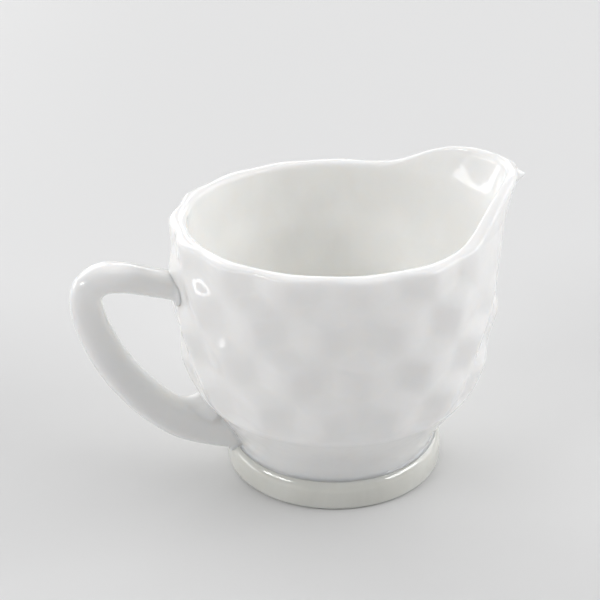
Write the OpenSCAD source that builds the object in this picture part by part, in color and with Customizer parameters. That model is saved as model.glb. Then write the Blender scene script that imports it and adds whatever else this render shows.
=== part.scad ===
// Footed cream jug in pressed opal glass: a bowl with a stacked-cube relief,
// a raised pouring spout, a loop handle and a plain round foot.
// Millimetres, +Z up, +X towards the spout, origin under the centre of the foot.

/* [Rim and wall] */
// Radius of the wall at the rim, halfway between ridges and valleys
rim_radius = 35; // [32:0.5:38]
// Height of the rim above the table, away from the spout
rim_height = 60.4; // [59.6:0.2:62]
// Radius of the wall at its widest
belly_radius = 35.7; // [33:0.1:39]
// Thickness of the wall, measured from its mean outer surface
wall_thickness = 3.2; // [2.8:0.1:4]
// Radius of the rounding along the rim
rim_rounding = 0.9; // [0.6:0.1:1]

/* [Cube relief] */
// Height at which the relief starts above the plain lower bowl
relief_base = 22; // [21:0.5:22.5]
// Mean radius of the wall where the relief starts
relief_base_radius = 32.7; // [31.5:0.1:34]
// Height of one row of cubes
row_pitch = 10.4; // [9.8:0.1:10.5]
// Half the height of a cube's lozenge-shaped top
lozenge_half_height = 2.2; // [1.4:0.1:2.4]
// Depth of the relief on each side of the mean surface
cube_depth = 1.2; // [0.6:0.1:1.4]

/* [Spout] */
// Height of the spout's lip above the rim
lip_lift = 8; // [5:0.5:10]
// How far the lip reaches past the rim
lip_reach = 6; // [3:0.5:8]
// Half the angle over which the lip rises
lip_half_angle = 42; // [36:1:44]
// Half the angle over which the lip reaches outwards
beak_half_angle = 23; // [18:1:28]
// How far the pointed nib under the middle of the lip stands out
nib_reach = 4.4; // [0:0.2:5]
// How far below the lip's edge the nib's point sits
nib_drop = 3.4; // [2.4:0.2:5]

/* [Lower bowl and foot] */
// Height of the foot
foot_height = 7; // [6.6:0.2:8.6]
// Radius of the foot
foot_radius = 25; // [24.5:0.1:27]
// Radius of the waist between the foot and the bowl
waist_radius = 23.2; // [21.6:0.1:23.8]
// Height of the cavity's floor inside
floor_height = 10.6; // [10:0.2:12]
// Depth of the hollow under the foot
recess_depth = 3; // [1:0.5:4]
// Width of the ring that the foot stands on
foot_ring = 4.5; // [3:0.5:6]

/* [Handle] */
// Thickness of the handle where it leaves the rim
handle_top_thickness = 5.6; // [4.5:0.1:7]
// Thickness of the handle where it meets the foot
handle_root_thickness = 8.6; // [7:0.1:10]
// Width of the handle across the jug
handle_width = 7; // [5:0.2:9]

/* [Hidden] */
glass_color = [0.93, 0.93, 0.91];
foot_color = [0.80, 0.80, 0.78];
smooth_facets = 128;

// Columns of the relief: a ridge line or a valley line every half cube.
cube_columns = 15;
cube_angle = 360 / cube_columns;
half_cube = cube_angle / 2;
grid_step = half_cube / 2;
grid_columns = 360 / grid_step;
// The spout takes the columns from -spout_edge to +spout_edge.
spout_edge = 5 * half_cube;
spout_columns = spout_edge / grid_step;

// Where rows of cubes meet, from the bottom up.
row_levels = [for (k = [1:3]) relief_base + k * row_pitch];
// The flare under the lip starts at this height and grows with this power of the height.
flare_start = 46;
flare_power = 1.5;
// How squarely the lip's rise and its reach end: 2 is a bell shape, more is flatter.
lip_squareness = 4;
beak_squareness = 2;
// Smallest part of the relief kept where a valley turns into a ridge.
least_step = 0.12;
// Share of the relief's depth left along the rim, in a valley and on a ridge.
rim_valley = -0.4;
rim_ridge = 0.9;
// Setback of the middle of a rounded edge, as a share of its radius.
edge_setback = 0.3;
// Levels of the smooth inside, as a share of a lozenge's half height.
inner_level = 0.5;

// Mean outer radius of the wall: from the base of the relief to the belly, then the rim.
belly_height = 48;
function mean_radius(z) =
    z < belly_height
    ? relief_base_radius
        + (belly_radius - relief_base_radius)
            * sin(90 * min(1, (z - relief_base) / (belly_height - relief_base)))
    : belly_radius
        + (rim_radius - belly_radius)
            * (1 - cos(90 * min(1, (z - belly_height) / (rim_height - belly_height))));

// Angle from the spout's middle, 0 to 180.
function spout_angle(a) = abs(a > 180 ? a - 360 : a);
// Share of a bump left at angle a, with its width and squareness.
function bump(a, width, power) = exp(-pow(spout_angle(a) / width, power));
// Height of the rim or lip at angle a, blended to nothing at the spout's edge.
function edge_blend(a) = min(1, max(0, (spout_edge - spout_angle(a)) / half_cube));
function top_height(a) =
    rim_height + lip_lift * bump(a, lip_half_angle, lip_squareness) * edge_blend(a);
// Outward flare of the spout at angle a and height z.
function flare(a, z) =
    lip_reach * bump(a, beak_half_angle, beak_squareness) * edge_blend(a)
        * pow(max(0, (z - flare_start) / (top_height(a) - flare_start)), flare_power);
// Share of the relief left at angle a and height z: none high on the spout.
function relief_left(a, z) =
    1 - edge_blend(a) * min(1, max(0, (z - row_levels[1]) / row_pitch));

// 1 on a ridge line of row k, 0 on its valley line. Rows step by half a cube.
function ridge_share(a, k) =
    abs(((a + ((k + 1) % 2) * half_cube) % cube_angle) / half_cube - 1);
// Share of the lozenge at the joint above row k.
function lozenge_share(a, k) = max(least_step, ridge_share(a, k));

function on_circle(r, a, z) = [r * cos(a), r * sin(a), z];
function outer_point(a, z, step) =
    on_circle(mean_radius(z) + flare(a, z) + cube_depth * step * relief_left(a, z), a, z);

// Outer points of one column, from the bottom of the relief to the rim. The nib under the
// lip is a single raised point in the spout's middle column.
function outer_column(a) =
    let (top = top_height(a))
    let (shares = [for (k = [0:2]) lozenge_share(a, k)])
    let (crest = rim_valley + (rim_ridge - rim_valley) * ridge_share(a, 1))
    let (shoulder = top - rim_rounding)
    let (on_nib = a == 0)
    let (last_level = row_levels[2] + lozenge_half_height)
    let (middle = on_nib ? top - nib_drop : (last_level + shoulder) / 2)
    let (setback = edge_setback * rim_rounding)
    concat(
        [outer_point(a, relief_base, -ridge_share(a, 1))],
        [for (k = [0:2]) for (side = [-1, 1])
            outer_point(a, row_levels[k] + side * shares[k] * lozenge_half_height,
                -side * shares[k])],
        [outer_point(a, middle, (crest - shares[2]) / 2) + on_circle(on_nib ? nib_reach : 0, a, 0)],
        [outer_point(a, shoulder, crest)],
        [outer_point(a, top - setback, crest) - on_circle(setback, a, 0)],
        [outer_point(a, top, crest) - on_circle(rim_rounding, a, 0)]
    );

function inner_point(a, z, inset) =
    on_circle(mean_radius(z) + flare(a, z) - wall_thickness + inset, a, z);
// Inner points of one column, level with the outer ones.
function inner_column(a) =
    let (top = top_height(a))
    let (shoulder = top - rim_rounding)
    let (last_level = row_levels[2] + lozenge_half_height)
    let (setback = edge_setback * rim_rounding)
    concat(
        [inner_point(a, relief_base, 0)],
        [for (k = [0:2]) for (side = [-1, 1])
            inner_point(a, row_levels[k] + side * inner_level * lozenge_half_height, 0)],
        [inner_point(a, (last_level + shoulder) / 2, 0)],
        [inner_point(a, shoulder, 0)],
        [inner_point(a, top - setback, setback)],
        [inner_point(a, top, rim_rounding)]
    );

column_points = len(outer_column(0));
top_cell = column_points - 2;
// The spout starts at this level of its columns, the upper side of the second joint.
spout_cell = 4;

// Columns are numbered from the spout's middle.
function column_angle(i) = ((i % grid_columns) + grid_columns) % grid_columns * grid_step;
function in_spout(i, j) =
    let (c = ((i % grid_columns) + grid_columns) % grid_columns)
    j >= spout_cell && (c < spout_columns || c >= grid_columns - spout_columns);

// Two triangles for a four-cornered face.
function two_triangles(a, b, c, d) = [[a, b, c], [a, c, d]];

// The wall or the spout as a closed shell: every kept cell has an outer and an inner face,
// and an end face on each side where the next cell belongs to the other piece.
module shell(kind) {
    n = grid_columns;
    m = column_points;
    outer = [for (i = [0:n - 1]) each outer_column(column_angle(i))];
    inner = [for (i = [0:n - 1]) each inner_column(column_angle(i))];
    half = n * m;
    function kept(i, j) =
        j >= 0 && j <= top_cell && (kind == "spout" ? in_spout(i, j) : !in_spout(i, j));
    function o(i, j) = ((i + n) % n) * m + j;
    function q(i, j) = half + o(i, j);
    cells = [for (i = [0:n - 1]) for (j = [0:top_cell]) if (kept(i, j)) [i, j]];
    faces = [for (cell = cells)
        let (i = cell[0], j = cell[1])
        each concat(
            two_triangles(o(i, j), o(i, j + 1), o(i + 1, j + 1), o(i + 1, j)),
            two_triangles(q(i, j), q(i + 1, j), q(i + 1, j + 1), q(i, j + 1)),
            kept(i, j - 1) ? [] : two_triangles(q(i, j), o(i, j), o(i + 1, j), q(i + 1, j)),
            kept(i, j + 1) ? []
                : two_triangles(q(i, j + 1), q(i + 1, j + 1), o(i + 1, j + 1), o(i, j + 1)),
            kept(i - 1, j) ? []
                : two_triangles(q(i, j), q(i, j + 1), o(i, j + 1), o(i, j)),
            kept(i + 1, j) ? []
                : two_triangles(q(i + 1, j), o(i + 1, j), o(i + 1, j + 1), q(i + 1, j + 1))
        )];
    polyhedron(points = concat(outer, inner), faces = faces, convexity = 8);
}

module cube_wall() {
    color(glass_color) shell("wall");
}

module spout() {
    color(glass_color) shell("spout");
}

// Outer profile of the lower bowl at share t of its height, 0 at the waist. It leaves the
// waist upright, sways outwards, and is nearly straight below the relief.
bowl_sway = 1.35;
bowl_top_radius = relief_base_radius - cube_depth;
bowl_steps = 8;
function bowl_outer(t) = [
    waist_radius + (bowl_top_radius - waist_radius) * pow(t, bowl_sway),
    foot_height + (relief_base - foot_height) * t
];
// Profile of the cavity's bottom at share t, 0 at the middle of the floor. A squareness
// of 2 is a quarter of an oval, and less is closer to a cone.
cavity_radius = relief_base_radius - wall_thickness;
cavity_squareness = 1.5;
function bowl_inner(t) = [
    cavity_radius * pow(sin(90 * t), 2 / cavity_squareness),
    floor_height
        + (relief_base - floor_height) * (1 - pow(cos(90 * t), 2 / cavity_squareness))
];

module lower_bowl_solid() {
    rotate_extrude($fn = smooth_facets)
        polygon(concat(
            [[0, foot_height]],
            [for (k = [0:bowl_steps]) bowl_outer(k / bowl_steps)],
            [[0, relief_base]]
        ));
}

module lower_bowl() {
    color(glass_color)
    rotate_extrude($fn = smooth_facets)
        polygon(concat(
            [[0, foot_height]],
            [for (k = [0:bowl_steps]) bowl_outer(k / bowl_steps)],
            [for (k = [bowl_steps:-1:0]) bowl_inner(k / bowl_steps)]
        ));
}

// Rounded edges of the foot: along the table, and round the shoulder under the waist.
foot_bevel = 0.9;
foot_shoulder = 2.4;
shoulder_steps = 4;
// Outline of the foot outside, from the table up to the waist.
foot_outline = concat(
    [[foot_radius - foot_bevel, 0]],
    [[foot_radius - edge_setback * foot_bevel, edge_setback * foot_bevel]],
    [[foot_radius, foot_bevel]],
    [for (k = [0:shoulder_steps]) [
        waist_radius + (foot_radius - waist_radius) * cos(90 * k / shoulder_steps),
        foot_height - foot_shoulder * (1 - sin(90 * k / shoulder_steps))
    ]]
);
recess_radius = foot_radius - foot_bevel - foot_ring;
recess_steps = 6;

module foot_solid() {
    rotate_extrude($fn = smooth_facets)
        polygon(concat([[0, 0]], foot_outline, [[0, foot_height]]));
}

module foot() {
    color(foot_color)
    rotate_extrude($fn = smooth_facets)
        polygon(concat(
            foot_outline,
            [[0, foot_height]],
            [for (k = [0:recess_steps]) [
                recess_radius * sin(90 * k / recess_steps),
                recess_depth * cos(90 * k / recess_steps)
            ]]
        ));
}

// Middle line of the handle: distance from the jug's axis, and height. The first and the
// last point only set the direction, and both ends run into the glass behind them.
handle_route = [
    [25, 43.4], [30, 45.2], [35, 47], [40.5, 48.8], [46, 50.4], [51, 50.6], [54.1, 48],
    [54.3, 43.4], [52.8, 37.5], [50.1, 31], [46.2, 24.6], [41.2, 18.6], [35.5, 13.9],
    [29, 10.9], [23, 9.1], [18, 8.2], [12, 7.4]
];
handle_steps = 3;
handle_sides = 16;
handle_squareness = 0.8;
handle_spans = len(handle_route) - 3;
// The handle thickens between these two spans.
taper_first = 1;
taper_last = 11;
// Step along the route used to find its direction.
route_probe = 0.05;
// Curve through four neighbouring points of the route.
function through(p, t) =
    0.5 * (2 * p[1] + (p[2] - p[0]) * t
        + (2 * p[0] - 5 * p[1] + 4 * p[2] - p[3]) * t * t
        + (3 * p[1] - p[0] - 3 * p[2] + p[3]) * t * t * t);
function handle_point(s) =
    let (k = min(handle_spans - 1, floor(s)))
    through([for (i = [0:3]) handle_route[k + i]], s - k);
function handle_normal(s) =
    let (ahead = handle_point(min(handle_spans, s + route_probe)))
    let (behind = handle_point(max(0, s - route_probe)))
    let (d = ahead - behind)
    [-d[1], d[0]] / norm(d);
function handle_thickness(s) =
    let (share = min(1, max(0, (s - taper_first) / (taper_last - taper_first))))
    handle_top_thickness + (handle_root_thickness - handle_top_thickness) * share;
// Side and thickness coordinates of a softly squared oval, -1 to 1.
function oval(angle) = [
    sign(cos(angle)) * pow(abs(cos(angle)), handle_squareness),
    sign(sin(angle)) * pow(abs(sin(angle)), handle_squareness)
];

// The handle lies opposite the spout, so distances from the axis run along -X.
module handle_sweep() {
    rings = handle_spans * handle_steps;
    points = [for (r = [0:rings])
        let (s = r / handle_steps, p = handle_point(s), n = handle_normal(s))
        for (k = [0:handle_sides - 1])
            let (v = oval(360 * k / handle_sides), w = v[1] * handle_thickness(s) / 2)
            [-(p[0] + n[0] * w), v[0] * handle_width / 2, p[1] + n[1] * w]];
    function id(r, k) = r * handle_sides + k % handle_sides;
    sides = [for (r = [0:rings - 1]) for (k = [0:handle_sides - 1])
        each two_triangles(id(r, k), id(r, k + 1), id(r + 1, k + 1), id(r + 1, k))];
    first = [for (k = [handle_sides - 1:-1:0]) id(0, k)];
    last = [for (k = [0:handle_sides - 1]) id(rings, k)];
    polyhedron(points = points, faces = concat(sides, [first, last]), convexity = 6);
}

// The wall behind the handle, filled in towards the axis, to trim the handle's end.
trim_half_columns = 3;
trim_radius = 12;
module wall_behind_handle() {
    middle = grid_columns / 2;
    m = column_points - 2;
    n = 2 * trim_half_columns;
    columns = [for (i = [0:n]) column_angle(middle - trim_half_columns + i)];
    outer = [for (a = columns) let (c = outer_column(a)) for (j = [0:m - 1]) c[j]];
    inner = [for (a = columns) let (c = outer_column(a)) for (j = [0:m - 1])
        on_circle(trim_radius, a, c[j][2])];
    half = (n + 1) * m;
    function o(i, j) = i * m + j;
    function q(i, j) = half + o(i, j);
    faces = concat(
        [for (i = [0:n - 1]) for (j = [0:m - 2]) each concat(
            two_triangles(o(i, j), o(i, j + 1), o(i + 1, j + 1), o(i + 1, j)),
            two_triangles(q(i, j), q(i + 1, j), q(i + 1, j + 1), q(i, j + 1)))],
        [for (i = [0:n - 1]) each concat(
            two_triangles(q(i, 0), o(i, 0), o(i + 1, 0), q(i + 1, 0)),
            two_triangles(q(i, m - 1), q(i + 1, m - 1), o(i + 1, m - 1), o(i, m - 1)))],
        [for (j = [0:m - 2]) each concat(
            two_triangles(q(0, j), q(0, j + 1), o(0, j + 1), o(0, j)),
            two_triangles(q(n, j), o(n, j), o(n, j + 1), q(n, j + 1)))]
    );
    polyhedron(points = concat(outer, inner), faces = faces, convexity = 6);
}

module handle() {
    color(glass_color)
    difference() {
        handle_sweep();
        wall_behind_handle();
        lower_bowl_solid();
        foot_solid();
    }
}

foot();
lower_bowl();
cube_wall();
spout();
handle();
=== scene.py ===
"""Looks of a footed cream jug in pressed opal glass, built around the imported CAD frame.

The bowl with its relief, inside and spout is one continuous skin, the foot and the handle
are pieces of their own. Shapes are worked out in millimetres and stored in metres.
"""
import math

import bpy
import numpy as np
from mathutils import Matrix, Vector


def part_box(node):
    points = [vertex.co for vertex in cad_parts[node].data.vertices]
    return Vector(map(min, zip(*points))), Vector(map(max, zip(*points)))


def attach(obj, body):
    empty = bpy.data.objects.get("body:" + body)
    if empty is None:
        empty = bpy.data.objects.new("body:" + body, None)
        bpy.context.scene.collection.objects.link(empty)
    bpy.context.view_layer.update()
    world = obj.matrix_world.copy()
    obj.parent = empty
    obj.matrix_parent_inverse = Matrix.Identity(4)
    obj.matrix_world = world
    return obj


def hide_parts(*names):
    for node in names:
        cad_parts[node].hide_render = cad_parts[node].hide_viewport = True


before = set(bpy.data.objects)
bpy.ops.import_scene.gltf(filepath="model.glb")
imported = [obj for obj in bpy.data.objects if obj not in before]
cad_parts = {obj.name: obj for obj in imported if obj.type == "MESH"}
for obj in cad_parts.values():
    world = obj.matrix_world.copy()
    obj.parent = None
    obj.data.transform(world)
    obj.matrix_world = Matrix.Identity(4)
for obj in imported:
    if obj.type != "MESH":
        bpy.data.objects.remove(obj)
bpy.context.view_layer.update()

MM = 0.001


def high_corner(node):
    """Highest corner of a CAD node's box, in millimetres."""
    return np.array(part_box(node)[1]) / MM


# ---------------------------------------------------------------- sizes from the frame
FOOT_RADIUS, _, WAIST_HEIGHT = high_corner("foot")
RELIEF_BASE = high_corner("lower_bowl")[2]
RIM_HEIGHT = high_corner("cube_wall")[2]
NIB_TIP, _, LIP_HEIGHT = high_corner("spout")
LIP_LIFT = LIP_HEIGHT - RIM_HEIGHT

# ---------------------------------------------------------------- shape of the bowl
RIM_RADIUS = 35.0
BELLY_RADIUS = 35.7
BELLY_HEIGHT = 48.0
RELIEF_BASE_RADIUS = 32.7
WALL_THICKNESS = 3.2
LIP_THICKNESS = 2.5
RIM_ROUNDING = 1.2

# The plain bowl ends a little inside the relief wall.
LEDGE = 0.4
WAIST_RADIUS = 23.2
BOWL_TOP_RADIUS = RELIEF_BASE_RADIUS - LEDGE
BOWL_SWAY = 1.35
FILLET_REACH = 0.55
FILLET_HEIGHT = 1.1
FILLET_DROP = 0.3
CAVITY_FLOOR = 10.6
CAVITY_SQUARENESS = 1.5

LIP_REACH = 6.0
LIP_HALF_ANGLE = 42.0
LIP_SQUARENESS = 4.0
BEAK_HALF_ANGLE = 23.0
FLARE_START = 46.0
FLARE_POWER = 1.5

# The outside is rounded over this many millimetres where the bowl meets the relief wall.
PROFILE_SOFTNESS = 1.4
# The rounding is whole from ROUND_LOW above the waist to ROUND_FULL above the relief's
# base, and gone at ROUND_END above that base.
ROUND_LOW = 3
ROUND_FULL = 4
ROUND_END = 7
# Places and weights of the average that does the rounding.
PROFILE_STEPS = np.linspace(-3, 3, 13) * PROFILE_SOFTNESS
PROFILE_WEIGHTS = np.exp(-0.5 * (PROFILE_STEPS / PROFILE_SOFTNESS) ** 2)
PROFILE_WEIGHTS = PROFILE_WEIGHTS / PROFILE_WEIGHTS.sum()

# The cube relief: columns half a cube apart, rows of cubes, joints with lozenge tops.
CUBE_COLUMNS = 15
CUBE_ANGLE = 360.0 / CUBE_COLUMNS
HALF_CUBE = CUBE_ANGLE / 2
ROW_PITCH = 10.4
JOINTS = [RELIEF_BASE + (k + 1) * ROW_PITCH for k in range(3)]
LOZENGE_HALF_HEIGHT = 2.6
CUBE_DEPTH = 1.2
LEAST_STEP = 0.12
RIM_VALLEY = -0.35
RIM_RIDGE = 0.75
RELIEF_SOFTNESS = 1.05
# The relief rises out of the bowl between these heights from its base.
RELIEF_START = -1.0
RELIEF_FULL = 2.5
# High on the spout the wall is plain: angles from its middle, and heights, of the change.
PLAIN_ANGLES = (62, 42)
PLAIN_HEIGHTS = (43, 54)
# The lip thins between these angles from the spout's middle.
THIN_ANGLES = (60, 20)

# ---------------------------------------------------------------- mesh densities
COLUMNS = 480
MAP_COLUMNS = 960
MAP_STEP = 0.25
MAP_MARGIN = 4
MAP_LOW = RELIEF_BASE - MAP_MARGIN
MAP_HIGH = LIP_HEIGHT + MAP_MARGIN


def smooth_step(x, low, high):
    """0 below low, 1 above high, smooth between. low may be the larger one."""
    t = np.clip((x - low) / (high - low), 0.0, 1.0)
    return t * t * (3 - 2 * t)


def spout_angle(degrees):
    """Angle from the spout's middle, 0 to 180."""
    return np.abs((degrees + 180.0) % 360.0 - 180.0)


def wall_profile(z):
    """Mean outer radius of the relief wall."""
    rise = np.clip((z - RELIEF_BASE) / (BELLY_HEIGHT - RELIEF_BASE), 0, 1)
    fall = np.clip((z - BELLY_HEIGHT) / (RIM_HEIGHT - BELLY_HEIGHT), 0, 1)
    wall = RELIEF_BASE_RADIUS + (BELLY_RADIUS - RELIEF_BASE_RADIUS) * np.sin(math.pi / 2 * rise)
    return wall + (RIM_RADIUS - BELLY_RADIUS) * (1 - np.cos(math.pi / 2 * fall))


def bowl_profile(z):
    """Plain lower bowl, from the waist up to the relief."""
    share = np.clip((z - WAIST_HEIGHT) / (RELIEF_BASE - WAIST_HEIGHT), 0, 1)
    return WAIST_RADIUS + (BOWL_TOP_RADIUS - WAIST_RADIUS) * share ** BOWL_SWAY


def sharp_profile(z):
    """Bowl and relief wall, meeting in a corner."""
    return np.where(z < RELIEF_BASE, bowl_profile(z), wall_profile(z))


def waist_fillet(z):
    """Small concave rounding of the bowl where it stands on the foot's shoulder."""
    share = 1 - np.clip((z - WAIST_HEIGHT + FILLET_DROP) / FILLET_HEIGHT, 0, 1)
    return FILLET_REACH * (1 - np.sqrt(np.clip(1 - share ** 2, 0, 1)))


def mean_radius(z):
    """Outer radius without the relief, rounded where the bowl meets the relief wall."""
    smooth = 0.0
    for step, weight in zip(PROFILE_STEPS, PROFILE_WEIGHTS):
        smooth = smooth + weight * sharp_profile(z + step)
    share = (smooth_step(z, RELIEF_BASE + ROUND_END, RELIEF_BASE + ROUND_FULL)
             * smooth_step(z, WAIST_HEIGHT, WAIST_HEIGHT + ROUND_LOW))
    sharp = sharp_profile(z)
    return sharp + (smooth - sharp) * share + waist_fillet(z)


def top_height(degrees):
    """Height of the rim, or of the lip on the spout."""
    share = np.exp(-(spout_angle(degrees) / LIP_HALF_ANGLE) ** LIP_SQUARENESS)
    return RIM_HEIGHT + LIP_LIFT * share


def flare(degrees, z):
    """How far the spout leans out at an angle and height."""
    share = np.clip((z - FLARE_START) / (top_height(degrees) - FLARE_START), 0, None)
    beak = np.exp(-(spout_angle(degrees) / BEAK_HALF_ANGLE) ** 2)
    return LIP_REACH * beak * share ** FLARE_POWER


# The mould seam leaves a small pointed nib under the middle of the lip. The first three
# are distances below the lip's edge: where it starts, its point, and where it ends.
NIB_FOOT = 12.0
NIB_POINT = 3.4
NIB_END = 0.6
NIB_RISE_POWER = 1.75
NIB_END_POWER = 1.2
NIB_HALF_ANGLE = 2.8
NIB_REACH = NIB_TIP - RIM_RADIUS - flare(0.0, LIP_HEIGHT - NIB_POINT)


def nib(degrees, z):
    """Keel along the seam that grows out to a point a little under the lip's edge."""
    under = top_height(degrees) - z
    rise = np.clip((NIB_FOOT - under) / (NIB_FOOT - NIB_POINT), 0, 1) ** NIB_RISE_POWER
    end = np.clip((under - NIB_END) / (NIB_POINT - NIB_END), 0, 1) ** NIB_END_POWER
    return NIB_REACH * np.exp(-(spout_angle(degrees) / NIB_HALF_ANGLE) ** 2) * rise * end


# ---------------------------------------------------------------- relief map
def ridge_share(degrees, row):
    """1 on a ridge line of a row of cubes, 0 on its valley line. Rows step by half a cube."""
    shifted = (degrees + ((row + 1) % 2) * HALF_CUBE) % CUBE_ANGLE
    return np.abs(shifted / HALF_CUBE - 1)


def relief_column(degrees):
    """Heights and offsets along one upright line of the sharp relief."""
    heights = [MAP_LOW, RELIEF_BASE]
    offsets = [-ridge_share(degrees, 1)] * 2
    for k, joint in enumerate(JOINTS):
        share = max(LEAST_STEP, ridge_share(degrees, k))
        heights += [joint - share * LOZENGE_HALF_HEIGHT, joint + share * LOZENGE_HALF_HEIGHT]
        offsets += [share, -share]
    crest = RIM_VALLEY + (RIM_RIDGE - RIM_VALLEY) * ridge_share(degrees, 1)
    shoulder = float(top_height(degrees)) - RIM_ROUNDING
    heights += [(heights[-1] + shoulder) / 2, shoulder, MAP_HIGH]
    offsets += [(crest + offsets[-1]) / 2, crest, crest]
    return heights, offsets


def blur(values, sigma, axis, periodic):
    """Gaussian blur along one axis; sigma is in samples."""
    reach = int(math.ceil(3 * sigma))
    steps = np.arange(-reach, reach + 1)
    weights = np.exp(-0.5 * (steps / sigma) ** 2)
    weights /= weights.sum()
    pad = [(0, 0), (0, 0)]
    pad[axis] = (reach, reach)
    padded = np.pad(values, pad, mode="wrap" if periodic else "edge")
    size = values.shape[axis]
    result = np.zeros_like(values)
    for step, weight in zip(steps, weights):
        start = step + reach
        part = padded[start:start + size] if axis == 0 else padded[:, start:start + size]
        result += weight * part
    return result


def make_relief_map():
    """Softened relief on a grid of angles and heights, in millimetres."""
    angles = np.arange(MAP_COLUMNS) * 360.0 / MAP_COLUMNS
    levels = np.arange(MAP_LOW, MAP_HIGH + MAP_STEP, MAP_STEP)
    rows = []
    for angle in angles:
        heights, offsets = relief_column(angle)
        rows.append(np.interp(levels, heights, offsets))
    sharp = CUBE_DEPTH * np.array(rows)
    column_step = math.radians(360.0 / MAP_COLUMNS) * RIM_RADIUS
    soft = blur(sharp, RELIEF_SOFTNESS / column_step, 0, True)
    soft = blur(soft, RELIEF_SOFTNESS / MAP_STEP, 1, False)
    return soft


RELIEF_MAP = make_relief_map()


def relief(degrees, z):
    """Softened relief at an angle and height: none high on the spout or under its base."""
    u = (degrees % 360.0) / 360.0 * MAP_COLUMNS
    v = np.clip((z - MAP_LOW) / MAP_STEP, 0, RELIEF_MAP.shape[1] - 2)
    i, j = np.floor(u).astype(int), np.floor(v).astype(int)
    fu, fv = u - i, v - j
    i, i1 = i % MAP_COLUMNS, (i + 1) % MAP_COLUMNS
    value = ((1 - fu) * ((1 - fv) * RELIEF_MAP[i, j] + fv * RELIEF_MAP[i, j + 1])
             + fu * ((1 - fv) * RELIEF_MAP[i1, j] + fv * RELIEF_MAP[i1, j + 1]))
    plain = smooth_step(spout_angle(degrees), *PLAIN_ANGLES) * smooth_step(z, *PLAIN_HEIGHTS)
    risen = smooth_step(z, RELIEF_BASE + RELIEF_START, RELIEF_BASE + RELIEF_FULL)
    return value * (1 - plain) * risen


def wall_radius(degrees, z):
    """Outer radius of the wall and spout, with the nib and the relief."""
    return mean_radius(z) + flare(degrees, z) + nib(degrees, z) + relief(degrees, z)


def inner_radius(degrees, z):
    """Inner radius of the wall and spout."""
    lip = (smooth_step(spout_angle(degrees), *THIN_ANGLES)
           * smooth_step(z, JOINTS[2], top_height(degrees)))
    thickness = WALL_THICKNESS + (LIP_THICKNESS - WALL_THICKNESS) * lip
    return wall_profile(z) + flare(degrees, z) - thickness


# ---------------------------------------------------------------- meshes
def ring_mesh(name, rings, start, end, material):
    """A closed skin through rings of points, with a fan to a point at each end."""
    rings = np.asarray(rings, float)
    rows, columns = rings.shape[:2]
    points = np.concatenate([rings.reshape(-1, 3), [start, end]])
    first, last = rows * columns, rows * columns + 1
    row, column = np.meshgrid(np.arange(rows - 1), np.arange(columns), indexing="ij")
    after = (column + 1) % columns
    quads = np.stack([row * columns + column, row * columns + after,
                      (row + 1) * columns + after, (row + 1) * columns + column], -1)
    faces = quads.reshape(-1, 4).tolist()
    base = (rows - 1) * columns
    faces += [[first, (k + 1) % columns, k] for k in range(columns)]
    faces += [[last, base + k, base + (k + 1) % columns] for k in range(columns)]
    if signed_volume(points, faces) < 0:
        faces = [face[::-1] for face in faces]
    mesh = bpy.data.meshes.new(name)
    mesh.from_pydata((points * MM).tolist(), [], faces)
    mesh.shade_smooth()
    mesh.validate()
    piece = bpy.data.objects.new(name, mesh)
    bpy.context.scene.collection.objects.link(piece)
    mesh.materials.append(material)
    return piece


def signed_volume(points, faces):
    """Six times the volume inside the faces, negative when they are inside out."""
    triangles = [face[:3] for face in faces]
    triangles += [[face[0], face[2], face[3]] for face in faces if len(face) == 4]
    a, b, c = (points[list(corner)] for corner in zip(*triangles))
    return np.einsum("ij,ij->", a, np.cross(b, c))


def on_circle(radius, z, degrees):
    """Ring of points from radii and heights, each a number or one value per column."""
    turn = np.radians(degrees)
    flat = np.broadcast_to(z, turn.shape)
    return np.stack([radius * np.cos(turn), radius * np.sin(turn), flat], -1)


FILLET_ROWS = 9
BOWL_ROWS = 34
LOWER_ROWS = 76
UPPER_ROWS = 52
RIM_ROWS = 18
INSIDE_ROWS = 90
CAVITY_ROWS = 40
# The bowl's flat bottom lies this deep in the foot.
ROOT_DEPTH = 1.5
BOTTOM_SHARES = (0.35, 0.7, 0.94)
RIM_SQUARENESS = 0.8


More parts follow.
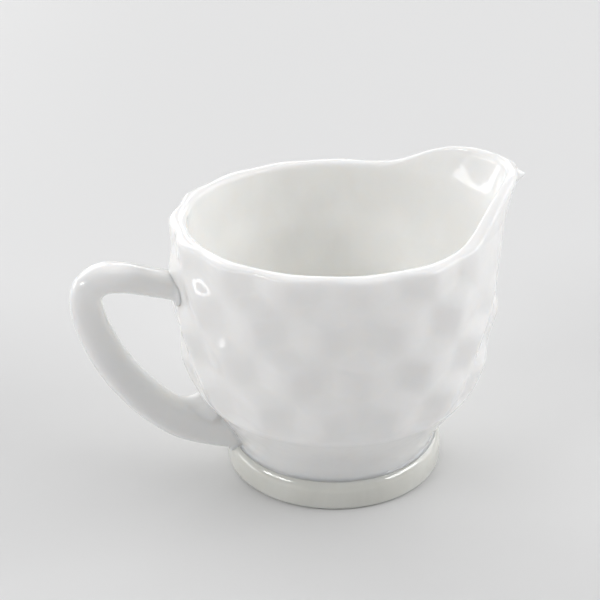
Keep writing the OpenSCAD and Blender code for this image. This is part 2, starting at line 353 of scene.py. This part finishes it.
def make_bowl(material):
    """The bowl with its relief, rim, spout and inside, from the bottom up and back down."""
    degrees = np.arange(COLUMNS) * 360.0 / COLUMNS
    top = top_height(degrees)
    rings = []
    # Bottom, sunk into the foot.
    for share in BOTTOM_SHARES:
        rings.append(on_circle(share * WAIST_RADIUS, WAIST_HEIGHT - ROOT_DEPTH, degrees))
    # Plain bowl, up to where the relief starts to rise out of it.
    fillet_low = WAIST_HEIGHT - FILLET_DROP
    fillet_high = fillet_low + FILLET_HEIGHT
    relief_start = RELIEF_BASE + RELIEF_START
    for z in np.linspace(fillet_low, fillet_high, FILLET_ROWS)[:-1]:
        rings.append(on_circle(mean_radius(z), z, degrees))
    for z in np.linspace(fillet_high, relief_start, BOWL_ROWS)[:-1]:
        rings.append(on_circle(mean_radius(z), z, degrees))
    # Relief wall, stretched towards the lip above the flare's start.
    for z in np.linspace(relief_start, FLARE_START, LOWER_ROWS)[:-1]:
        rings.append(on_circle(wall_radius(degrees, z), z, degrees))
    shoulder = top - RIM_ROUNDING
    for share in np.linspace(0, 1, UPPER_ROWS):
        z = FLARE_START + (shoulder - FLARE_START) * share
        rings.append(on_circle(wall_radius(degrees, z), z, degrees))
    # Rounded rim.
    outside = wall_radius(degrees, shoulder)
    inside = inner_radius(degrees, shoulder)
    middle, half = (outside + inside) / 2, (outside - inside) / 2
    for turn in np.linspace(0, math.pi, RIM_ROWS)[1:-1]:
        across = math.copysign(abs(math.cos(turn)) ** RIM_SQUARENESS, math.cos(turn))
        rise = math.sin(turn) ** RIM_SQUARENESS
        rings.append(on_circle(middle + half * across, shoulder + RIM_ROUNDING * rise, degrees))
    # Smooth inside, then the cavity's rounded bottom.
    for share in np.linspace(1, 0, INSIDE_ROWS):
        z = RELIEF_BASE + (shoulder - RELIEF_BASE) * share
        rings.append(on_circle(inner_radius(degrees, z), z, degrees))
    cavity_radius = RELIEF_BASE_RADIUS - WALL_THICKNESS
    for turn in np.linspace(math.pi / 2, 0, CAVITY_ROWS)[1:-1]:
        power = 2 / CAVITY_SQUARENESS
        z = CAVITY_FLOOR + (RELIEF_BASE - CAVITY_FLOOR) * (1 - math.cos(turn) ** power)
        rings.append(on_circle(cavity_radius * math.sin(turn) ** power, z, degrees))
    bottom = [0, 0, WAIST_HEIGHT - ROOT_DEPTH]
    return ring_mesh("jug_bowl", rings, bottom, [0, 0, CAVITY_FLOOR], material)


# ---------------------------------------------------------------- foot
FOOT_BEVEL = 0.9
FOOT_SHOULDER = 2.6
FOOT_RING = 4.5
RECESS_DEPTH = 3.0
RECESS_ROUNDING = 0.7
# The foot's top, hidden in the bowl, and where its shoulder starts inside the waist.
HIDDEN_LIFT = 0.4
HIDDEN_RADII = (0.5 * WAIST_RADIUS, WAIST_RADIUS - 1.2)
SHOULDER_RADIUS = WAIST_RADIUS - 0.6
FOOT_COLUMNS = 360
SHOULDER_ROWS = 12
SIDE_ROWS = 8
BEVEL_ROWS = 8
STANDING_ROWS = 5
ROUNDING_ROWS = 6
HOLLOW_ROWS = 16


def make_foot(material):
    """The foot, from its hidden top over the shoulder and under to the hollow."""
    degrees = np.arange(FOOT_COLUMNS) * 360.0 / FOOT_COLUMNS
    shoulder_low = WAIST_HEIGHT - FOOT_SHOULDER
    ring_outside = FOOT_RADIUS - FOOT_BEVEL
    recess = ring_outside - FOOT_RING
    outline = [(radius, WAIST_HEIGHT + HIDDEN_LIFT) for radius in HIDDEN_RADII]
    for turn in np.linspace(0, math.pi / 2, SHOULDER_ROWS):
        outline.append((SHOULDER_RADIUS + (FOOT_RADIUS - SHOULDER_RADIUS) * math.sin(turn),
                        WAIST_HEIGHT - FOOT_SHOULDER * (1 - math.cos(turn))))
    for z in np.linspace(shoulder_low, FOOT_BEVEL, SIDE_ROWS)[1:]:
        outline.append((FOOT_RADIUS, z))
    for turn in np.linspace(0, math.pi / 2, BEVEL_ROWS)[1:]:
        outline.append((FOOT_RADIUS - FOOT_BEVEL * (1 - math.cos(turn)),
                        FOOT_BEVEL * (1 - math.sin(turn))))
    for radius in np.linspace(ring_outside, recess + RECESS_ROUNDING, STANDING_ROWS)[1:]:
        outline.append((radius, 0.0))
    for turn in np.linspace(0, math.pi / 2, ROUNDING_ROWS)[1:]:
        outline.append((recess + RECESS_ROUNDING * (1 - math.sin(turn)),
                        RECESS_ROUNDING * (1 - math.cos(turn))))
    for turn in np.linspace(math.pi / 2, 0, HOLLOW_ROWS)[1:-1]:
        rise = (RECESS_DEPTH - RECESS_ROUNDING) * math.cos(turn)
        outline.append((recess * math.sin(turn), RECESS_ROUNDING + rise))
    rings = [on_circle(radius, z, degrees) for radius, z in outline]
    top = [0, 0, WAIST_HEIGHT + HIDDEN_LIFT]
    return ring_mesh("jug_foot", rings, top, [0, 0, RECESS_DEPTH], material)


# ---------------------------------------------------------------- handle
# Middle line: distance from the jug's axis and height. The first and the last point only
# set the direction; both ends are buried in the glass behind them.
HANDLE_ROUTE = [
    (25, 43.4), (30, 45.2), (35, 47), (40.5, 48.8), (46, 50.4), (51, 50.6), (54.1, 48),
    (54.3, 43.4), (52.8, 37.5), (50.1, 31), (46.2, 24.6), (41.2, 18.6), (35.5, 13.9),
    (29, 10.9), (23, 9.1), (18, 8.2), (12, 7.4),
]
HANDLE_WIDTH = 7.0
HANDLE_TOP = 5.6
HANDLE_ROOT = 8.6
TAPER_FIRST = 1.0
TAPER_LAST = 11.0
# Spans left out at the ends of the route, deep inside the glass.
BURIED_FIRST = 0.72
BURIED_LAST = 0.6
# The upper end lies at this radius, inside the wall, and the lower end keeps this much
# glass between it and the cavity.
UPPER_END = 33.3
GLASS_LEFT = 1.0
HANDLE_SIDES = 72
RINGS_PER_SPAN = 16
ROUTE_PROBE = 0.02
SECTION_POWER = 0.8
UPPER_FILLET = 1.2
ROOT_FILLET_SIDE = 0.8
ROOT_FILLET_TOP = 4.6
ROOT_FILLET_UNDER = 1.0
ROOT_REACH = 8.0


def through(points, t):
    """Smooth curve through four neighbouring points, between the middle two."""
    a, b, c, d = points
    return 0.5 * (2 * b + (c - a) * t + (2 * a - 5 * b + 4 * c - d) * t ** 2
                  + (3 * b - a - 3 * c + d) * t ** 3)


def foot_radius(z):
    """Outer radius of the foot, with its rounded shoulder under the waist."""
    drop = np.clip((z - WAIST_HEIGHT + FOOT_SHOULDER) / FOOT_SHOULDER, 0, 1)
    return WAIST_RADIUS + (FOOT_RADIUS - WAIST_RADIUS) * np.sqrt(1 - drop ** 2)


def body_envelope(z, up):
    """Radius that the handle leans against. Upward faces (up = 1) reach the relief's base."""
    body = np.where(z < WAIST_HEIGHT, foot_radius(z), mean_radius(z))
    reached = np.where(z > RELIEF_BASE - ROOT_REACH, RELIEF_BASE_RADIUS, body)
    return np.where(z < RELIEF_BASE, body + (reached - body) * up ** 2, body)


def cavity_profile(z):
    """Radius of the cavity's rounded bottom at a height."""
    share = np.clip((z - CAVITY_FLOOR) / (RELIEF_BASE - CAVITY_FLOOR), 0, 1)
    cosine = (1 - share) ** (CAVITY_SQUARENESS / 2)
    return (RELIEF_BASE_RADIUS - WALL_THICKNESS) * (1 - cosine ** 2) ** (1 / CAVITY_SQUARENESS)


def fillet_push(distance, radius):
    """Outward push that turns a corner into a fillet, largest where the surfaces meet."""
    share = 1 - np.clip(distance / radius, 0, 1)
    return radius * (1 - np.sqrt(np.clip(1 - share ** 2, 0, 1)))


def rounded_power(values):
    """Sine or cosine values squared up for the handle's section."""
    return np.sign(values) * np.abs(values) ** SECTION_POWER


def handle_place(route, s):
    """Middle of the handle at place s of its route, and the direction of its thickness."""
    k = min(len(route) - 4, int(s))
    near = route[k:k + 4]
    ahead = through(near, s - k + ROUTE_PROBE)
    behind = through(near, s - k - ROUTE_PROBE)
    along = (ahead - behind) / np.linalg.norm(ahead - behind)
    return through(near, s - k), np.array([-along[1], along[0]])


def make_handle(material):
    """The handle, swept along its route, with fillets where it meets the body."""
    route = np.array(HANDLE_ROUTE, float)
    spans = len(route) - 3
    turn = np.arange(HANDLE_SIDES) * 2 * math.pi / HANDLE_SIDES
    rings = []
    for s in np.arange(BURIED_FIRST, spans - BURIED_LAST, 1 / RINGS_PER_SPAN):
        centre, normal = handle_place(route, s)
        share = min(1.0, max(0.0, (s - TAPER_FIRST) / (TAPER_LAST - TAPER_FIRST)))
        thickness = HANDLE_TOP + (HANDLE_ROOT - HANDLE_TOP) * share
        side = rounded_power(np.cos(turn)) * HANDLE_WIDTH / 2
        lift = rounded_power(np.sin(turn)) * thickness / 2
        rho, z = centre[0] + normal[0] * lift, centre[1] + normal[1] * lift
        lower_half = s > spans / 2
        facing = np.sin(turn) * np.sign(normal[1])
        if lower_half:
            up = np.clip(facing, 0, 1)
            largest = np.where(facing > 0, ROOT_FILLET_TOP, ROOT_FILLET_UNDER)
            radius = ROOT_FILLET_SIDE + (largest - ROOT_FILLET_SIDE) * facing ** 2
        else:
            up = np.zeros(HANDLE_SIDES)
            radius = np.full(HANDLE_SIDES, UPPER_FILLET)
        distance = np.hypot(rho, side) - body_envelope(z, up)
        growth = 1 + fillet_push(distance, radius) / np.hypot(side, lift)
        side, lift = side * growth, lift * growth
        rho, z = centre[0] + normal[0] * lift, centre[1] + normal[1] * lift
        # Both ends stay inside the glass instead of reaching the cavity.
        least = cavity_profile(z) + GLASS_LEFT if lower_half else UPPER_END
        rho = np.maximum(rho, np.sqrt(np.maximum(least ** 2 - side ** 2, 0)))
        rings.append(np.stack([-rho, side, z], -1))
    rings = np.array(rings)
    return ring_mesh("jug_handle", rings, rings[0].mean(0), rings[-1].mean(0), material)


# ---------------------------------------------------------------- materials
def add(nodes, kind, **sockets):
    """New shader node with some of its sockets set."""
    node = nodes.new(kind)
    for socket, value in sockets.items():
        node.inputs[socket.replace("_", " ")].default_value = value
    return node


def opal_glass(name, pale, deep, roughness, shine):
    """Fire-polished opal glass: light sinks in a little, with faint milky flow clouds.
    roughness is the smoothest and the roughest, shine the strength of its reflections."""
    material = bpy.data.materials.new(name)
    material.use_nodes = True
    nodes, links = material.node_tree.nodes, material.node_tree.links
    nodes.clear()
    output = nodes.new("ShaderNodeOutputMaterial")
    shader = nodes.new("ShaderNodeBsdfPrincipled")
    shader.inputs["IOR"].default_value = 1.5
    shader.inputs["Specular IOR Level"].default_value = shine
    shader.inputs["Subsurface Weight"].default_value = 1.0
    shader.inputs["Subsurface Radius"].default_value = (1.0, 0.95, 0.9)
    shader.inputs["Subsurface Scale"].default_value = 0.002
    links.new(shader.outputs["BSDF"], output.inputs["Surface"])
    place = nodes.new("ShaderNodeTexCoord")

    # Milky clouds, drawn out along the flow of the glass.
    flow = add(nodes, "ShaderNodeMapping", Scale=(1.0, 1.0, 0.45))
    links.new(place.outputs["Object"], flow.inputs["Vector"])
    clouds = add(nodes, "ShaderNodeTexNoise", Scale=55.0, Detail=4.0, Roughness=0.55, Distortion=1.2)
    links.new(flow.outputs["Vector"], clouds.inputs["Vector"])
    ramp = nodes.new("ShaderNodeValToRGB")
    ramp.color_ramp.elements[0].position = 0.32
    ramp.color_ramp.elements[0].color = deep
    ramp.color_ramp.elements[1].position = 0.68
    ramp.color_ramp.elements[1].color = pale
    links.new(clouds.outputs["Fac"], ramp.inputs["Fac"])
    links.new(ramp.outputs["Color"], shader.inputs["Base Color"])

    # Handling leaves the gloss slightly uneven.
    wear = add(nodes, "ShaderNodeTexNoise", Scale=130.0, Detail=5.0, Roughness=0.6)
    links.new(place.outputs["Object"], wear.inputs["Vector"])
    gloss = add(nodes, "ShaderNodeMapRange", From_Min=0.3, From_Max=0.7,
                To_Min=roughness[0], To_Max=roughness[1])
    links.new(wear.outputs["Fac"], gloss.inputs["Value"])
    links.new(gloss.outputs["Result"], shader.inputs["Roughness"])

    # The mould's faint waviness, and fine pitting over it.
    wave = add(nodes, "ShaderNodeTexNoise", Scale=170.0, Detail=2.0, Roughness=0.5)
    links.new(place.outputs["Object"], wave.inputs["Vector"])
    pits = add(nodes, "ShaderNodeTexNoise", Scale=900.0, Detail=2.0, Roughness=0.5)
    links.new(place.outputs["Object"], pits.inputs["Vector"])
    wave_bump = add(nodes, "ShaderNodeBump", Strength=0.35, Distance=0.0003)
    links.new(wave.outputs["Fac"], wave_bump.inputs["Height"])
    pit_bump = add(nodes, "ShaderNodeBump", Strength=0.12, Distance=0.00006)
    links.new(pits.outputs["Fac"], pit_bump.inputs["Height"])
    links.new(wave_bump.outputs["Normal"], pit_bump.inputs["Normal"])
    links.new(pit_bump.outputs["Normal"], shader.inputs["Normal"])
    return material


def stage_paint():
    """Plain pale floor."""
    material = bpy.data.materials.new("pale_floor")
    material.use_nodes = True
    shader = material.node_tree.nodes["Principled BSDF"]
    shader.inputs["Base Color"].default_value = (0.725, 0.725, 0.728, 1)
    shader.inputs["Roughness"].default_value = 0.6
    shader.inputs["Specular IOR Level"].default_value = 0.25
    return material


BODY_PALE = (0.977, 0.978, 0.952, 1)
BODY_DEEP = (0.949, 0.951, 0.917, 1)
# Painted shade: the foot is the same opal glass as the bowl. Its colours are drawn darker and greyer
# to stand in for the shade on the foot and the light lost through its glass.
FOOT_SHADED_PALE = (0.79, 0.79, 0.75, 1)
FOOT_SHADED_DEEP = (0.71, 0.71, 0.67, 1)
glass = opal_glass("opal_glass", BODY_PALE, BODY_DEEP, (0.04, 0.10), 0.5)
shaded_foot_glass = opal_glass("opal_glass_foot", FOOT_SHADED_PALE, FOOT_SHADED_DEEP, (0.03, 0.07), 1.0)

bowl = make_bowl(glass)
foot = make_foot(shaded_foot_glass)
handle = make_handle(glass)

for piece, nodes, slot in (
    (bowl, ("lower_bowl", "cube_wall", "spout"), "opal_glass"),
    (foot, ("foot",), "opal_glass_foot"),
    (handle, ("handle",), "opal_glass"),
):
    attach(piece, "root")
    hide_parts(*nodes)

# ---------------------------------------------------------------- view frame
# The camera stands in front of the jug with the spout turned this far round from the
# camera's direction. Places below are given as right, back and up from the jug's foot.
SPOUT_TURN = math.radians(105.4)


def seen_from_camera(right, back, up):
    """Turns a vector given as right, back and up into the jug's own frame."""
    return Vector((right * math.sin(SPOUT_TURN) - back * math.cos(SPOUT_TURN),
                   right * math.cos(SPOUT_TURN) + back * math.sin(SPOUT_TURN),
                   up))


CAMERA_DISTANCE = 0.2410
CAMERA_HEIGHT = 0.1578
CAMERA_PITCH = 0.457124
CAMERA_YAW = -0.031597
CAMERA_ROLL = -0.010965
SENSOR_WIDTH = 36
LENS = 72
# Height on the jug that the lights are aimed at.
LIGHT_AIM = 0.035


def make_camera():
    """Camera at the photo's viewing angle, aimed by its pitch, yaw and roll."""
    forward = Vector((math.sin(CAMERA_YAW) * math.cos(CAMERA_PITCH),
                      math.cos(CAMERA_YAW) * math.cos(CAMERA_PITCH),
                      -math.sin(CAMERA_PITCH)))
    level = Vector((math.cos(CAMERA_YAW), -math.sin(CAMERA_YAW), 0))
    up = level.cross(forward)
    right = level * math.cos(CAMERA_ROLL) + up * math.sin(CAMERA_ROLL)
    up = up * math.cos(CAMERA_ROLL) - level * math.sin(CAMERA_ROLL)
    axes = [seen_from_camera(*axis) for axis in (right, up, -forward)]
    turn = Matrix([[axis[row] for axis in axes] for row in range(3)])
    data = bpy.data.cameras.new("camera")
    data.sensor_width = SENSOR_WIDTH
    data.lens = LENS
    data.clip_start = 0.01
    place = seen_from_camera(0, -CAMERA_DISTANCE, CAMERA_HEIGHT)
    camera = bpy.data.objects.new("camera", data)
    camera.matrix_world = Matrix.Translation(place) @ turn.to_4x4()
    bpy.context.scene.collection.objects.link(camera)
    bpy.context.scene.camera = camera


def area_light(name, azimuth, elevation, distance, width, height, power):
    """Soft light aimed at the jug; azimuth 0 is the camera's side, 90 is to the right."""
    turn, rise = math.radians(azimuth), math.radians(elevation)
    place = seen_from_camera(distance * math.cos(rise) * math.sin(turn),
                             -distance * math.cos(rise) * math.cos(turn),
                             distance * math.sin(rise))
    data = bpy.data.lights.new(name, "AREA")
    data.shape = "RECTANGLE"
    data.size = width
    data.size_y = height
    data.energy = power
    light = bpy.data.objects.new(name, data)
    light.rotation_mode = "QUATERNION"
    light.rotation_quaternion = (Vector((0, 0, LIGHT_AIM)) - place).to_track_quat("-Z", "Y")
    light.location = place
    bpy.context.scene.collection.objects.link(light)


# Soft panels round the jug: azimuth, elevation, distance, width, height and power.
LIGHTS = {
    "right_window": (80, 33, 1.6, 1.00, 0.42, 8.0),
    "right_back": (118, 25, 1.6, 1.07, 0.89, 5.2),
    "left_window": (-62, 30, 1.6, 0.90, 0.26, 7.0),
    "left_side": (-106, 5, 1.6, 1.80, 0.15, 3.5),
    "left_back": (-145, 25, 1.6, 1.07, 0.89, 6.5),
    "back_strip": (172, 24, 1.6, 0.80, 0.12, 1.2),
    "overhead": (180, 84, 1.6, 1.80, 1.80, 5.6),
}
# The room is dim on the camera's side and pale behind the jug.
WORLD_FRONT = 0.20
WORLD_BACK = 0.50

FLOOR_RADIUS = 3.0
FLOOR_SIDES = 96


def make_floor():
    """A large round floor."""
    turns = [2 * math.pi * k / FLOOR_SIDES for k in range(FLOOR_SIDES)]
    rim = [(FLOOR_RADIUS * math.cos(turn), FLOOR_RADIUS * math.sin(turn), 0) for turn in turns]
    mesh = bpy.data.meshes.new("floor")
    mesh.from_pydata(rim, [], [list(range(FLOOR_SIDES))])
    mesh.materials.append(stage_paint())
    floor = bpy.data.objects.new("floor", mesh)
    bpy.context.scene.collection.objects.link(floor)


def make_world():
    """Plain room light that brightens from the camera's side to behind the jug."""
    world = bpy.data.worlds.new("studio")
    world.use_nodes = True
    nodes, links = world.node_tree.nodes, world.node_tree.links
    place = nodes.new("ShaderNodeTexCoord")
    facing = nodes.new("ShaderNodeVectorMath")
    facing.operation = "DOT_PRODUCT"
    facing.inputs[1].default_value = seen_from_camera(0, 1, 0)
    links.new(place.outputs["Generated"], facing.inputs[0])
    fade = add(nodes, "ShaderNodeMapRange", From_Min=-0.5, From_Max=0.2,
               To_Min=WORLD_FRONT, To_Max=WORLD_BACK)
    links.new(facing.outputs["Value"], fade.inputs["Value"])
    links.new(fade.outputs["Result"], nodes["Background"].inputs["Strength"])
    nodes["Background"].inputs["Color"].default_value = (1, 1, 1, 1)
    bpy.context.scene.world = world


make_floor()
make_world()
make_camera()
for light_name, light_values in LIGHTS.items():
    area_light(light_name, *light_values)
bpy.context.scene.view_settings.view_transform = "Standard"
